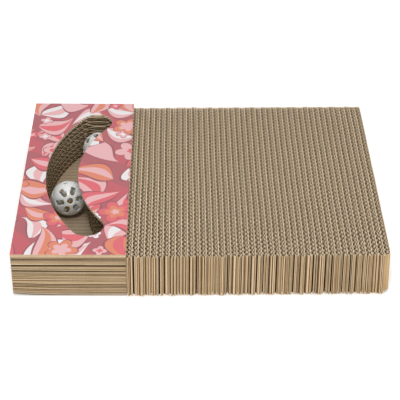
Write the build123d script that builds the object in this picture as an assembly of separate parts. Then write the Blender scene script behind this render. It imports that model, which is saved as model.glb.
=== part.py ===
from build123d import *
import math
import os

# A cat scratcher of corrugated board: a pad of upright strips beside a block of flat sheets, with two
# hollow balls that roll in a curved track inside the block. Millimetres, +Z up, the origin on the floor
# under the middle of the footprint, the block on the left and the open ends of the pad to the front.

# Corrugated board: flat liners with a zigzag medium glued between them
STRIP_BOARD = 6.5  # double-wall board of the pad strips
TRACK_BOARD = 7.1  # double-wall board of the track sheets
COVER_BOARD = 3.0  # single-wall board of the printed top and of the floor
LINER = 0.45  # thickness of a flat ply
MEDIUM = 0.4  # thickness of the fluted ply
COARSE_PITCH = 7.6  # from flute to flute in the double-wall board
FINE_PITCH = 6.4  # from flute to flute in the single-wall board
ROW_SHIFT = 0.37  # the second row of flutes lies this share of a pitch further on
CUT_PHASES = (0.11, 0.36, 0.61, 0.86)  # where in a flute a board is cut off, as shares of a pitch

# Toy block: sheets stacked along Z with their flutes along X
BLOCK_WIDTH = 120.5
BLOCK_DEPTH = 300.0
SIDE_WALL = 23.6  # board left between the block's outer side and the track
PAD_WALL = 18.8  # board left between the track's ends and the pad
END_WALL = 28.4  # board left between the track's ends and the block's front and back, on average
TRACK_BACK = 3.3  # the track's middle lies this far behind the block's
OUTER_LIP = 1.5  # the printed top overhangs the track's outer wall
END_LIP = 2.3  # the printed top overhangs the track's end walls

# Scratching pad: strips on edge, side by side along X with their flutes along Z
STRIP_COUNT = 43
PAD_LEAD = 1.1  # the first strip's front stands proud of the block's
PAD_BACK_STEP = 4.0  # the first strip's back stops short of the block's
STRIP_STEP = 0.12  # each strip is glued this much further back than the one before
PAD_DROP = 3.2  # the pad's top lies below the block's
RAGGED = 0.8  # how far strips stray to the front or back
RAGGED_TURN = 2.4  # radians from strip to strip in the wave of straying

# Balls: two lapped half shells round a loose bell
BALL_DIAMETER = 40.0
BALL_PLAY = 7.0  # the track is this much wider than a ball
BALL_CATCH = 3.5  # the slot is this much narrower than a ball
BALL_HEADROOM = 4.0  # least height left over a ball
RUNNING_GAP = 0.3  # under a ball, under its bell and under the pellet
SHELL_WALL = 1.6
LAP_HEIGHT = 1.5
LAP_PLAY = 0.05
POLE_HOLE = 6.0
PETAL_LENGTH = 10.0
PETAL_WIDTH = 5.2
PETAL_ANGLE = 34.0  # degrees from the pole to a petal's middle
PETAL_COUNT = 6
WINDOW_LENGTH = 3.6
WINDOW_WIDTH = 5.0
WINDOW_ANGLE = 75.0  # degrees from the pole to a window's middle
BELL_DIAMETER = 13.0
BELL_WALL = 0.5
SLIT_WIDTH = 1.2
SLIT_EYE = 2.4  # diameter of the round ends of the slits
SLIT_START = 1.0  # the slits end this far below the bell's middle
PELLET_DIAMETER = 3.5

# Where the balls lie: off the track's centreline, round the track from its middle or back from its end
NEAR_BALL_OFFSET = -2.0
NEAR_BALL_ANGLE = -2.7
NEAR_BALL_POLE = (0.18, -0.89, 0.43)
NEAR_BALL_PETAL = (0.29, 0.56, 0.78)
FAR_BALL_OFFSET = -3.1
FAR_BALL_BACK = 0.7  # degrees short of the middle of the track's round end
FAR_BALL_POLE = (-0.46, 0.54, 0.71)
FAR_BALL_PETAL = (-0.19, 0.06, 0.98)

# Worked out from the sizes above
TRACK_WIDTH = BALL_DIAMETER + BALL_PLAY
SLOT_WIDTH = BALL_DIAMETER - BALL_CATCH
TRACK_SHEETS = math.ceil((BALL_DIAMETER + BALL_HEADROOM) / TRACK_BOARD)
BLOCK_HEIGHT = 2 * COVER_BOARD + TRACK_SHEETS * TRACK_BOARD
STRIP_HEIGHT = BLOCK_HEIGHT - PAD_DROP
STRIP_LENGTH = BLOCK_DEPTH + PAD_LEAD - PAD_BACK_STEP
LEFT = -(BLOCK_WIDTH + STRIP_COUNT * STRIP_BOARD) / 2
FRONT = -BLOCK_DEPTH / 2

# The track's centreline is an arc through its middle and its two ends
half_chord = BLOCK_DEPTH / 2 - END_WALL - TRACK_WIDTH / 2
rise = BLOCK_WIDTH - SIDE_WALL - PAD_WALL - TRACK_WIDTH
TRACK_RADIUS = (half_chord**2 + rise**2) / (2 * rise)
TRACK_HALF_ANGLE = math.asin(half_chord / TRACK_RADIUS)
ARC_X = LEFT + SIDE_WALL + TRACK_WIDTH / 2 + TRACK_RADIUS
ARC_Y = FRONT + BLOCK_DEPTH / 2 + TRACK_BACK

# The slot's arc has the same centre, and its ends stop short of the track's
SLOT_RADIUS = TRACK_RADIUS + (TRACK_WIDTH - SLOT_WIDTH) / 2 - OUTER_LIP
track_reach = TRACK_HALF_ANGLE + TRACK_WIDTH / 2 / TRACK_RADIUS
SLOT_HALF_ANGLE = track_reach - (SLOT_WIDTH / 2 + END_LIP) / SLOT_RADIUS


def board_section(length, thickness, rows, pitch, phase):
    """A board's cut face: X through its thickness, Y along its length, flutes square to the face."""
    row_height = (thickness - (rows + 1) * LINER) / rows
    web = MEDIUM * math.hypot(pitch / 2, row_height) / row_height / 2
    tip = row_height * (1 - 2 * web / pitch)
    outline = Wire.make_polygon([(0, 0), (thickness, 0), (thickness, length), (0, length)])
    whole_cells = []
    end_cells = []
    for row in range(rows):
        lower = LINER + row * (row_height + LINER)
        row_phase = (phase + row * ROW_SHIFT) * pitch
        for base, height, shift in ((lower, tip, 0), (lower + row_height, -tip, pitch / 2)):
            start = (row_phase + shift) % pitch - pitch
            while start + web < length:
                first = start + web
                last = start + pitch - web
                cell = Wire.make_polygon([(base, first), (base, last), (base + height, start + pitch / 2)])
                if first > 0 and last < length:
                    whole_cells.append(cell)
                elif last > 0:
                    end_cells.append(Face(cell))
                start += pitch
    return Sketch([Face(outline, whole_cells)]) - end_cells


def board(length, width, thickness, rows, pitch, phase):
    """A corrugated board with its flutes along Z, over the given width."""
    return extrude(board_section(length, thickness, rows, pitch, phase), amount=width).solid()


def flat_sheet(thickness, rows, pitch, phase):
    """A sheet with the block's outline that lies flat on the floor, flutes along X."""
    blank = board(BLOCK_DEPTH, BLOCK_WIDTH, thickness, rows, pitch, phase)
    return Pos(LEFT, FRONT, thickness) * Rot(0, 90, 0) * blank


def arc_point(radius, angle, onward=0.0):
    """A point round the track's arc, counted from its middle towards the back, moved on along it."""
    x = ARC_X - radius * math.cos(angle) + onward * math.sin(angle)
    y = ARC_Y + radius * math.sin(angle) + onward * math.cos(angle)
    return (x, y)


def arc_cut(radius, width, half_angle, height):
    """A prism on the floor with the outline of an arc of steady width and round ends."""
    half = width / 2
    outer = radius + half
    inner = radius - half
    edges = [
        ThreePointArc(arc_point(outer, -half_angle), arc_point(outer, 0), arc_point(outer, half_angle)),
        ThreePointArc(
            arc_point(outer, half_angle),
            arc_point(radius, half_angle, half),
            arc_point(inner, half_angle),
        ),
        ThreePointArc(arc_point(inner, half_angle), arc_point(inner, 0), arc_point(inner, -half_angle)),
        ThreePointArc(
            arc_point(inner, -half_angle),
            arc_point(radius, -half_angle, -half),
            arc_point(outer, -half_angle),
        ),
    ]
    return extrude(make_face(edges), amount=height)


def opening(outline, polar, azimuth):
    """A cutter through a shell at an angle from the pole, its outline's X pointing away from the pole."""
    out = Vector(0, 0, 1).rotate(Axis.Y, polar).rotate(Axis.Z, azimuth)
    away = Vector(1, 0, 0).rotate(Axis.Y, polar).rotate(Axis.Z, azimuth)
    plane = Plane(origin=out * (BALL_DIAMETER / 4), x_dir=away, z_dir=out)
    return extrude(plane * outline, amount=BALL_DIAMETER / 2)


def shell_openings():
    """The pole hole, the ring of petals round it and the ring of windows between them near the seam."""
    straight = PETAL_LENGTH - PETAL_WIDTH / 2
    petal = Pos(PETAL_WIDTH / 4, 0) * Rectangle(straight, PETAL_WIDTH)
    petal += Pos((PETAL_WIDTH - PETAL_LENGTH) / 2, 0) * Circle(PETAL_WIDTH / 2)
    window = Rectangle(WINDOW_LENGTH, WINDOW_WIDTH)
    cutters = [opening(Circle(POLE_HOLE / 2), 0, 0)]
    for index in range(PETAL_COUNT):
        cutters.append(opening(petal, PETAL_ANGLE, 360 / PETAL_COUNT * index))
        cutters.append(opening(window, WINDOW_ANGLE, 360 / PETAL_COUNT * (index + 0.5)))
    return cutters


def ring(inner, outer, height):
    """A ring that hangs down from the seam's plane."""
    return Pos(0, 0, -height / 2) * (Cylinder(outer, height) - Cylinder(inner, height))


def half_shells():
    """A ball's front half with its lip, pole to +Z, and its rear half with the rebate for it."""
    outer = BALL_DIAMETER / 2
    inner = outer - SHELL_WALL
    lip = (inner + outer) / 2
    dome = split(Sphere(outer) - Sphere(inner), Plane.XY) - shell_openings()
    front = dome + ring(inner, lip, LAP_HEIGHT)
    rear = Rot(180, 0, 0) * dome - ring(inner - SHELL_WALL, lip + LAP_PLAY, LAP_HEIGHT + LAP_PLAY)
    return front.solid(), rear.solid()


def slit_bell():
    """A thin round bell with two crossed slits from below, each with round ends."""
    outer = BELL_DIAMETER / 2
    cutters = []
    for turn in (0, 90):
        slit = Pos(0, 0, -SLIT_START - outer / 2) * Box(BELL_DIAMETER, SLIT_WIDTH, outer)
        eyes = Pos(0, 0, -SLIT_START) * Rot(0, 90, 0) * Cylinder(SLIT_EYE / 2, BELL_DIAMETER)
        cutters += [Rot(0, 0, turn) * slit, Rot(0, 0, turn) * eyes]
    return (Sphere(outer) - Sphere(outer - BELL_WALL) - cutters).solid()


def ball_pieces(name, offset, angle, pole, petal):
    """One ball with its bell and pellet, on the floor of the track at an angle round it."""
    x, y = arc_point(TRACK_RADIUS + offset, angle)
    ball_height = COVER_BOARD + RUNNING_GAP + BALL_DIAMETER / 2
    bell_drop = BALL_DIAMETER / 2 - SHELL_WALL - RUNNING_GAP - BELL_DIAMETER / 2
    pellet_drop = bell_drop + (BELL_DIAMETER - PELLET_DIAMETER) / 2 - BELL_WALL - RUNNING_GAP
    lie = Plane(origin=(x, y, ball_height), x_dir=petal, z_dir=pole).location
    front, rear = half_shells()
    return {
        f"{name}_front_half": lie * front,
        f"{name}_rear_half": lie * rear,
        f"{name}_bell": Pos(x, y, ball_height - bell_drop) * slit_bell(),
        f"{name}_pellet": Pos(x, y, ball_height - pellet_drop) * Sphere(PELLET_DIAMETER / 2),
    }


def block_pieces():
    """The floor, the track sheets and the printed top, from the bottom up."""
    pieces = {"floor_sheet": flat_sheet(COVER_BOARD, 1, FINE_PITCH, CUT_PHASES[0])}
    track = arc_cut(TRACK_RADIUS, TRACK_WIDTH, TRACK_HALF_ANGLE, TRACK_BOARD)
    blanks = [flat_sheet(TRACK_BOARD, 2, COARSE_PITCH, phase) - track for phase in CUT_PHASES]
    for index in range(TRACK_SHEETS):
        floor = COVER_BOARD + index * TRACK_BOARD
        pieces[f"track_sheet_{index + 1}"] = Pos(0, 0, floor) * blanks[index % len(blanks)].solid()
    slot = arc_cut(SLOT_RADIUS, SLOT_WIDTH, SLOT_HALF_ANGLE, COVER_BOARD)
    top = flat_sheet(COVER_BOARD, 1, FINE_PITCH, CUT_PHASES[1]) - slot
    pieces["printed_top_sheet"] = Pos(0, 0, BLOCK_HEIGHT - COVER_BOARD) * top.solid()
    return pieces


def pad_pieces():
    """The pad's strips from the block outwards, each cut at another place in a flute."""
    blanks = [board(STRIP_LENGTH, STRIP_HEIGHT, STRIP_BOARD, 2, COARSE_PITCH, phase) for phase in CUT_PHASES]
    pieces = {}
    for index in range(STRIP_COUNT):
        x = LEFT + BLOCK_WIDTH + index * STRIP_BOARD
        y = FRONT - PAD_LEAD + STRIP_STEP * index + RAGGED * math.sin(RAGGED_TURN * index)
        pieces[f"pad_strip_{index + 1:02}"] = Pos(x, y, 0) * blanks[index % len(blanks)]
    return pieces


far_angle = TRACK_HALF_ANGLE - math.radians(FAR_BALL_BACK)
near_angle = math.radians(NEAR_BALL_ANGLE)
scratcher = block_pieces() | pad_pieces()
scratcher |= ball_pieces("near_ball", NEAR_BALL_OFFSET, near_angle, NEAR_BALL_POLE, NEAR_BALL_PETAL)
scratcher |= ball_pieces("far_ball", FAR_BALL_OFFSET, far_angle, FAR_BALL_POLE, FAR_BALL_PETAL)

os.makedirs("parts", exist_ok=True)
for node, solid in scratcher.items():
    export_step(solid, f"parts/{node}.step", write_pcurves=False)
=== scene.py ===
import math
import random

import bpy
import numpy as np
from bpy.props import FloatProperty, FloatVectorProperty, IntProperty, PointerProperty
from bpy.types import Operator, Panel, PropertyGroup
from mathutils import Matrix, Vector


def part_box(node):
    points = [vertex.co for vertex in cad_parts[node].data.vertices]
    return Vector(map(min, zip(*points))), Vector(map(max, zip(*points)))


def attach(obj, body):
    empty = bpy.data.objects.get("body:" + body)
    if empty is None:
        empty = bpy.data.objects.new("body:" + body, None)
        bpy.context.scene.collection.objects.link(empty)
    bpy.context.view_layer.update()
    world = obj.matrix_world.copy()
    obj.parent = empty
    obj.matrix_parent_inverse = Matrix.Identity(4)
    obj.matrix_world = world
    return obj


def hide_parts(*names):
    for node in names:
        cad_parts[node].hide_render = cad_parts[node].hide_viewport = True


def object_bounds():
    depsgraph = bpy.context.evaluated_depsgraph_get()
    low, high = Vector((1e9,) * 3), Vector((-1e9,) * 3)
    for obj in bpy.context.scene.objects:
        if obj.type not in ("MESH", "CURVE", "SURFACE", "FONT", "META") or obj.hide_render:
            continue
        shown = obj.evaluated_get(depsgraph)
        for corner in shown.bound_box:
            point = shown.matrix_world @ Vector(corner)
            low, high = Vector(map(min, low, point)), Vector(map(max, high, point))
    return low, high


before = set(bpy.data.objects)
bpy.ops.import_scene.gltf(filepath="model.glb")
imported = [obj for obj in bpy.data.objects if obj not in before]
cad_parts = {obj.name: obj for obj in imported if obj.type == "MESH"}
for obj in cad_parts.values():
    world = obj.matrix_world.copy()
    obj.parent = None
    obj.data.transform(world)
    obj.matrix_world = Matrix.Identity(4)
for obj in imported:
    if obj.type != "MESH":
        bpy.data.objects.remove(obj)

bl_info = {
    "name": "Corrugated Cat Scratcher",
    "version": (1, 0, 0),
    "blender": (4, 5, 0),
    "location": "View3D > Sidebar > Scratcher",
    "description": "Dresses a corrugated cat scratcher: a pad of strips and a block with a ball track",
    "category": "Object",
}

MM = 0.001
WAVE_PERIOD = 0.314  # of a Wave texture at scale 1
CAD_BOX = [list(corner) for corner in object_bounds()]
BLOCK_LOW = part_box("floor_sheet")[0]
BLOCK_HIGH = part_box("printed_top_sheet")[1]
STRIP_COUNT = sum(name.startswith("pad_strip_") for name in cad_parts)
TRACK_SHEETS = sum(name.startswith("track_sheet_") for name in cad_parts)

# Points along one flute, in a fluted ply and in a liner
FLUTE_POINTS = 10
LINER_POINTS = 4

TOUCH = 0.02 * MM  # points this near a cut end lie on it
CAP_TIP = 85  # degrees: a cut's round ends stop here, short of a sliver

# Kinds of face in a sheet of the block
TOP, BELOW, OUTER_EDGE, FLUTE_WALL, LINER_WALL = range(5)


def linear(code):
    """An sRGB hex colour as linear red, green, blue and alpha."""
    shares = [int(code[at:at + 2], 16) / 255 for at in (0, 2, 4)]
    return [s / 12.92 if s <= 0.04045 else ((s + 0.055) / 1.055) ** 2.4 for s in shares] + [1.0]


def length(name, description, millimetres):
    """A length that a user can change."""
    return FloatProperty(
        name=name, description=description, default=millimetres * MM, unit="LENGTH", precision=5
    )


def share(name, description, value):
    """A share of something, from 0 to 1."""
    return FloatProperty(name=name, description=description, default=value, subtype="FACTOR", min=0, max=1)


def degrees(name, description, value):
    """An angle that a user can change."""
    return FloatProperty(name=name, description=description, default=math.radians(value), subtype="ANGLE")


def colour(name, description, code):
    """A colour that a user can change, from its sRGB hex code."""
    return FloatVectorProperty(
        name=name, description=description, default=linear(code), size=4, subtype="COLOR"
    )


class ScratcherBoard(PropertyGroup):
    """The corrugated board of both halves."""

    liner: length("Liner", "Thickness of a flat ply", 0.36)
    medium: length("Medium", "Thickness of a fluted ply", 0.62)
    coarse_pitch: length("Coarse Pitch", "Flute to flute in the taller row of the double-wall board", 7.76)
    fine_pitch: length("Fine Pitch", "Flute to flute in the lower row and in the floor sheet", 6.36)
    print_pitch: length("Print Pitch", "Flute to flute in the printed sheet", 3.4)
    coarse_share: share("Coarse Share", "The taller row's share of the double-wall board", 0.59)
    washboard: length("Washboard", "How far a liner sinks between flutes", 0.07)
    strip_skew: degrees("Strip Skew", "How far a strip's flutes lean from upright, at most", 0.12)
    sheet_skew: degrees("Sheet Skew", "How far a sheet's flutes lean from the line of a cut, at most", 0.6)
    pinch: share("Pinch", "How much the saw squeezes a board at its cut ends, at most", 0.16)
    pinch_depth: length("Pinch Depth", "How far the squeeze reaches in from a cut end", 2.4)
    crush_depth: length("Crush Depth", "How far the flutes are crushed at the pad's back", 2.5)
    fray: length("Fray", "How unevenly plies are cut off", 0.2)
    lift: length("Lift", "How much higher than the floor a strip's lower edge lies, at most", 0.25)
    sway: length("Sway", "How far the glued strips wander from straight lines", 0.3)
    # Track Shade, Pocket Shade and Pocket Dark set the shade painted into the paper inside the flutes
    track_shade: share("Track Shade", "How dark paper gets, at most, in a sheet with a cut", 0.7)
    pocket_shade: length("Pocket Shade", "Depth of full shade in a flute that is cut open along it", 3.0)
    pocket_dark: share("Pocket Dark", "How dark paper gets at that depth", 0.94)
    sawn_edge: share("Sawn Edge", "How pale the plies are at the pad's front and back, against its top", 0.7)
    liner_edge: share("Liner Edge", "How pale the flat plies' edges are, against the fluted ones", 0.96)
    pad_corner: length("Pad Corner", "Rounding of the pad's worn front corner", 6.0)
    pad_lean: length("Pad Lean", "How far the pad's front leans in at the top of that corner", 2.6)
    block_corner: length("Block Corner", "How far the block's worn lower corner is pressed up", 3.0)


class ScratcherTrack(PropertyGroup):
    """The curved track in the block and the narrower slot over it."""

    width: length("Track Width", "Width of the track under the printed top", 47.0)
    side_wall: length("Side Wall", "Board between the block's outer side and the track", 23.6)
    pad_wall: length("Pad Wall", "Board between the track's ends and the pad", 18.8)
    end_wall: length("End Wall", "Board between the track's ends and the block's front and back", 28.4)
    back_shift: length("Back Shift", "The track's middle lies this far behind the block's", 3.3)
    slot_width: length("Slot Width", "Width of the slot in the printed top", 36.5)
    outer_lip: length("Outer Lip", "Overhang of the printed top at the outer wall", 1.5)
    end_lip: length("End Lip", "Overhang of the printed top at the end walls", 2.3)


class ScratcherBall(PropertyGroup):
    """A hollow ball of two lapped half shells, with a bell inside."""

    diameter: length("Diameter", "Outer diameter of a ball", 40.0)
    wall: length("Wall", "Thickness of a half shell", 1.6)
    lap: length("Lap", "Height of the lip at the seam", 1.5)
    lap_play: length("Lap Play", "Clearance of the lip in its rebate", 0.05)
    seam: length("Seam", "Chamfer of the shells' edges at the seam", 0.22)
    flare: length("Flare", "Rounding of the openings' rims", 0.45)
    pole_hole: length("Pole Hole", "Diameter of the hole at the pole", 7.2)
    petal_length: length("Petal Length", "Length of an opening of the ring round the pole", 11.8)
    petal_width: length("Petal Width", "Width of an opening of the ring round the pole", 5.8)
    petal_angle: degrees("Petal Angle", "From the pole to the middle of a petal", 36.5)
    petal_count: IntProperty(name="Petals", description="Openings in each ring", default=6, min=3)
    window_length: length("Window Length", "Height of an opening near the seam", 3.6)
    window_width: length("Window Width", "Width of an opening near the seam", 5.0)
    window_angle: degrees("Window Angle", "From the pole to the middle of a window", 75.0)
    bell: length("Bell", "Outer diameter of the bell", 13.0)
    bell_wall: length("Bell Wall", "Thickness of the bell's sheet", 0.5)
    bell_bead: length("Bell Bead", "How far the bead round the bell stands out", 0.35)
    slit: length("Slit", "Width of the bell's crossed slits", 1.2)
    slit_eye: length("Slit Eye", "Diameter of the round ends of the slits", 2.4)
    slit_start: length("Slit Start", "The slits end this far below the bell's middle", 1.0)


class ScratcherColours(PropertyGroup):
    """The colours of board, print, plastic and metal."""

    kraft_light: colour("Kraft Light", "Paler paper of the liners", "DBBC92")
    kraft_dark: colour("Kraft Dark", "Darker paper of the liners", "C19D69")
    kraft_edge: colour("Kraft Edge", "Freshly cut edges of the plies", "FFE5C0")
    # Painted shade: the colour that paper deep inside the flutes is mixed toward, standing in for their shade
    kraft_painted_shade: colour("Kraft Shade", "Paper deep inside the flutes", "221006")
    kraft_fleck: colour("Kraft Fleck", "Dark fibres in the paper", "7A5834")
    print_ground: colour("Print Ground", "Ground colour of the print", "AA5E64")
    print_band: colour("Print Band", "Stronger bands in the ground", "BE5C64")
    print_line: colour("Print Line", "Outlines of the motifs", "98525A")
    print_hot: colour("Print Hot", "Strong pink petals", "D8666E")
    print_light: colour("Print Light", "Light pink petals", "E4B0B2")
    print_coral: colour("Print Coral", "Coral petals and eyes", "D98468")
    print_white: colour("Print White", "White petals and leaves", "E8E2E3")
    plastic: colour("Plastic", "Moulded plastic of the balls", "ECEFEC")
    brass: colour("Brass", "Sheet brass of the bells", "C9A45A")
    steel: colour("Steel", "Steel of the pellets", "B9BBBD")


class ScratcherView(PropertyGroup):
    """Where the camera stands."""

    focal: length("Focal Length", "Lens, for a sensor of 36 mm", 112.52)
    distance: length("Distance", "From the camera to its target", 1478.08)
    target: FloatVectorProperty(
        name="Target", description="What the camera points at", default=(1.256 * MM, 24.579 * MM, 0),
        subtype="TRANSLATION",
    )
    elevation: degrees("Elevation", "Height of the camera over the floor", 35.926)
    yaw: degrees("Yaw", "Turn of the camera to the right", 1.329)
    roll: degrees("Roll", "Turn of the camera about its axis", 0.970)


SETTINGS = {
    "scratcher_board": ScratcherBoard,
    "scratcher_track": ScratcherTrack,
    "scratcher_ball": ScratcherBall,
    "scratcher_colours": ScratcherColours,
    "scratcher_view": ScratcherView,
}


def add(tree, kind, inputs=None, **settings):
    """Adds a node with its settings. An input is a value, a socket to link, or a node's first output."""
    node = tree.nodes.new(kind)
    for key, value in settings.items():
        setattr(node, key, value)
    for key, value in (inputs or {}).items():
        source = value.outputs[0] if isinstance(value, bpy.types.Node) else value
        if isinstance(source, bpy.types.NodeSocket):
            tree.links.new(source, node.inputs[key])
        else:
            node.inputs[key].default_value = source
    return node


def empty_tree(owner):
    """The node tree of a new material or world, cleared."""
    owner.use_nodes = True
    owner.node_tree.nodes.clear()
    return owner.node_tree


def kraft_paper(name, colours, tone=1.0, strength=1.0, lines=0.04):
    """Kraft paper board: unbleached recycled pulp, rolled flat and sawn.

    It is quite matt and clouded, with dark flecks of fibre and faint lines of glue over the flutes. It is
    paler and rough where it is cut, and inside the flutes it is darkened by painted shade. Fibres are drawn
    a millimetre long, or they wouldn't show.
    """
    clouds = 28 * MM
    fibre = 1.1 * MM
    fleck = 2.6 * MM
    glue_pitch = 6.4 * MM
    material = bpy.data.materials.new(name)
    tree = empty_tree(material)
    place = add(tree, "ShaderNodeTexCoord").outputs["Object"]
    cloud = add(tree, "ShaderNodeTexNoise", {"Vector": place, "Scale": 1 / clouds, "Detail": 3})
    fibres = add(
        tree, "ShaderNodeTexNoise", {"Vector": place, "Scale": 1 / fibre, "Detail": 4, "Roughness": 0.7}
    )
    flecks = add(
        tree, "ShaderNodeTexNoise", {"Vector": place, "Scale": 1 / fleck, "Detail": 2, "Roughness": 0.8}
    )
    mixed = add(tree, "ShaderNodeMath", {0: cloud, 1: fibres}, operation="ADD")
    pale = add(tree, "ShaderNodeMapRange", {"Value": mixed, "From Min": 0.7, "From Max": 1.3})
    dark = add(
        tree, "ShaderNodeMapRange", {"Value": flecks, "From Min": 0.64, "From Max": 0.74, "To Max": 0.35}
    )
    ragged = add(
        tree, "ShaderNodeMapRange",
        {"Value": fibres, "From Min": 0.35, "From Max": 0.65, "To Min": 0.7, "To Max": 1.5},
    )
    # Painted shade: the inside attribute, made ragged by the fibres, mixes paper toward the painted shade
    # colour
    inside = add(tree, "ShaderNodeAttribute", attribute_name="inside").outputs["Fac"]
    uneven = add(tree, "ShaderNodeMath", {0: inside, 1: ragged}, operation="MULTIPLY")
    deep = add(tree, "ShaderNodeMapRange", {"Value": uneven, "To Max": 0.97})
    fuzz = add(
        tree, "ShaderNodeMapRange", {"Value": fibres, "From Min": 0.35, "From Max": 0.6, "To Min": 0.6}
    )
    cut = add(tree, "ShaderNodeAttribute", attribute_name="cut_edge").outputs["Fac"]
    bare = add(tree, "ShaderNodeMath", {0: cut, 1: fuzz}, operation="MULTIPLY")
    layers = (
        (pale, colours.kraft_light),
        (dark, colours.kraft_fleck),
        (deep, colours.kraft_painted_shade),
        (bare, colours.kraft_edge),
    )
    paint = colours.kraft_dark
    for amount, tint in layers:
        paint = add(tree, "ShaderNodeMix", {0: amount, 6: paint, 7: tint}, data_type="RGBA").outputs[2]
    glue = add(
        tree, "ShaderNodeTexWave",
        {"Vector": place, "Scale": WAVE_PERIOD / glue_pitch, "Distortion": 0.6, "Detail": 1.0},
        bands_direction="Y",
    )
    value = add(
        tree, "ShaderNodeMapRange",
        {"Value": glue.outputs["Fac"], "To Min": (1 - lines) * tone, "To Max": (1 + lines) * tone},
    )
    toned = add(tree, "ShaderNodeHueSaturation", {"Color": paint, "Value": value, "Saturation": strength})
    bump = add(tree, "ShaderNodeBump", {"Height": fibres, "Strength": 0.35, "Distance": 0.08 * MM})
    shader = add(
        tree, "ShaderNodeBsdfPrincipled",
        {"Base Color": toned, "Roughness": 0.93, "Specular IOR Level": 0.06, "Normal": bump},
    )
    add(tree, "ShaderNodeOutputMaterial", {"Surface": shader})
    return material


def motif_grid(tree, place, cell, seed, looseness):
    """A loose grid of motifs: a point's place in its motif, in cells, and three random shares of it."""
    apart = (seed * 0.37 * cell, seed * 0.73 * cell, 0.0)  # so that no two grids line up
    moved = add(tree, "ShaderNodeVectorMath", {0: place, 1: apart})
    scaled = add(tree, "ShaderNodeVectorMath", {0: moved, "Scale": 1 / cell}, operation="SCALE")
    scatter = add(
        tree, "ShaderNodeTexVoronoi", {"Vector": scaled, "Scale": 1.0, "Randomness": looseness},
        voronoi_dimensions="2D", feature="F1",
    )
    flat = add(tree, "ShaderNodeVectorMath", {0: scaled, 1: (1.0, 1.0, 0.0)}, operation="MULTIPLY")
    spoke = add(
        tree, "ShaderNodeVectorMath", {0: flat, 1: scatter.outputs["Position"]}, operation="SUBTRACT"
    )
    return spoke, add(tree, "ShaderNodeSeparateColor", {0: scatter.outputs["Color"]})


def flower_reach(tree, spoke, chance, petals, radius):
    """How far out a point lies in a flower with round petals, 1 on its outline."""
    notch = 0.45 * radius
    parts = add(tree, "ShaderNodeSeparateXYZ", {0: spoke})
    turn = add(tree, "ShaderNodeMath", {0: parts.outputs[1], 1: parts.outputs[0]}, operation="ARCTAN2")
    lobes = add(tree, "ShaderNodeMath", {0: turn, 1: petals / 2}, operation="MULTIPLY")
    start = add(
        tree, "ShaderNodeMath", {0: chance.outputs[2], 1: math.pi, 2: lobes}, operation="MULTIPLY_ADD"
    )
    wave = add(tree, "ShaderNodeMath", {0: start}, operation="COSINE")
    lobe = add(tree, "ShaderNodeMath", {0: wave}, operation="ABSOLUTE")
    rim = add(tree, "ShaderNodeMath", {0: lobe, 1: notch, 2: radius - notch}, operation="MULTIPLY_ADD")
    grown = add(tree, "ShaderNodeMapRange", {"Value": chance.outputs[1], "To Min": 0.75, "To Max": 1.0})
    limit = add(tree, "ShaderNodeMath", {0: rim, 1: grown}, operation="MULTIPLY")
    span = add(tree, "ShaderNodeVectorMath", {0: spoke}, operation="LENGTH")
    return add(tree, "ShaderNodeMath", {0: span.outputs["Value"], 1: limit}, operation="DIVIDE")


def leaf_reach(tree, spoke, chance, long, wide, bend):
    """How far out a point lies in a curved leaf with pointed ends, 1 on its outline."""
    swell = 0.55
    least = 0.0001
    angle = add(tree, "ShaderNodeMath", {0: chance.outputs[2], 1: math.tau}, operation="MULTIPLY")
    turned = add(tree, "ShaderNodeVectorRotate", {"Vector": spoke, "Angle": angle}, rotation_type="Z_AXIS")
    parts = add(tree, "ShaderNodeSeparateXYZ", {0: turned})
    along = add(tree, "ShaderNodeMath", {0: parts.outputs[0], 1: long}, operation="DIVIDE")
    square = add(tree, "ShaderNodeMath", {0: along, 1: along}, operation="MULTIPLY")
    bent = add(tree, "ShaderNodeMath", {0: square, 1: bend, 2: parts.outputs[1]}, operation="MULTIPLY_ADD")
    room = add(tree, "ShaderNodeMath", {0: square, 1: -wide, 2: wide}, operation="MULTIPLY_ADD")
    belly = add(tree, "ShaderNodeMath", {0: along, 1: swell, 2: 1.0}, operation="MULTIPLY_ADD")
    swollen = add(tree, "ShaderNodeMath", {0: room, 1: belly}, operation="MULTIPLY")
    limit = add(tree, "ShaderNodeMath", {0: swollen, 1: least}, operation="MAXIMUM")
    off = add(tree, "ShaderNodeMath", {0: bent}, operation="ABSOLUTE")
    return add(tree, "ShaderNodeMath", {0: off, 1: limit}, operation="DIVIDE")


def paint_motif(tree, paint, reach, chance, keep, outline, line, rings, inks):
    """Paints the kept share of a motif over what is there: an outline, then rings of ink picked at random."""
    out_of_reach = 9.0
    ring_shift = 0.27
    absent = add(tree, "ShaderNodeMath", {0: chance.outputs[1], 1: keep}, operation="GREATER_THAN")
    reach = add(tree, "ShaderNodeMath", {0: absent, 1: out_of_reach, 2: reach}, operation="MULTIPLY_ADD")
    drawn = add(tree, "ShaderNodeMath", {0: reach, 1: outline}, operation="LESS_THAN")
    paint = add(tree, "ShaderNodeMix", {0: drawn, 6: paint, 7: line}, data_type="RGBA").outputs[2]
    for ring, edge in enumerate(rings):
        picked = add(tree, "ShaderNodeMath", {0: chance.outputs[0], 1: ring_shift * ring}, operation="ADD")
        wrapped = add(tree, "ShaderNodeMath", {0: picked}, operation="FRACT")
        ramp = add(tree, "ShaderNodeValToRGB", {0: wrapped})
        ramp.color_ramp.interpolation = "CONSTANT"
        for step, ink in enumerate(inks):
            stops = ramp.color_ramp.elements
            stop = stops[step] if step < 2 else stops.new(step / len(inks))
            stop.position = step / len(inks)
            stop.color = ink
        within = add(tree, "ShaderNodeMath", {0: reach, 1: edge}, operation="LESS_THAN")
        paint = add(tree, "ShaderNodeMix", {0: within, 6: paint, 7: ramp}, data_type="RGBA").outputs[2]
    return paint


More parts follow.
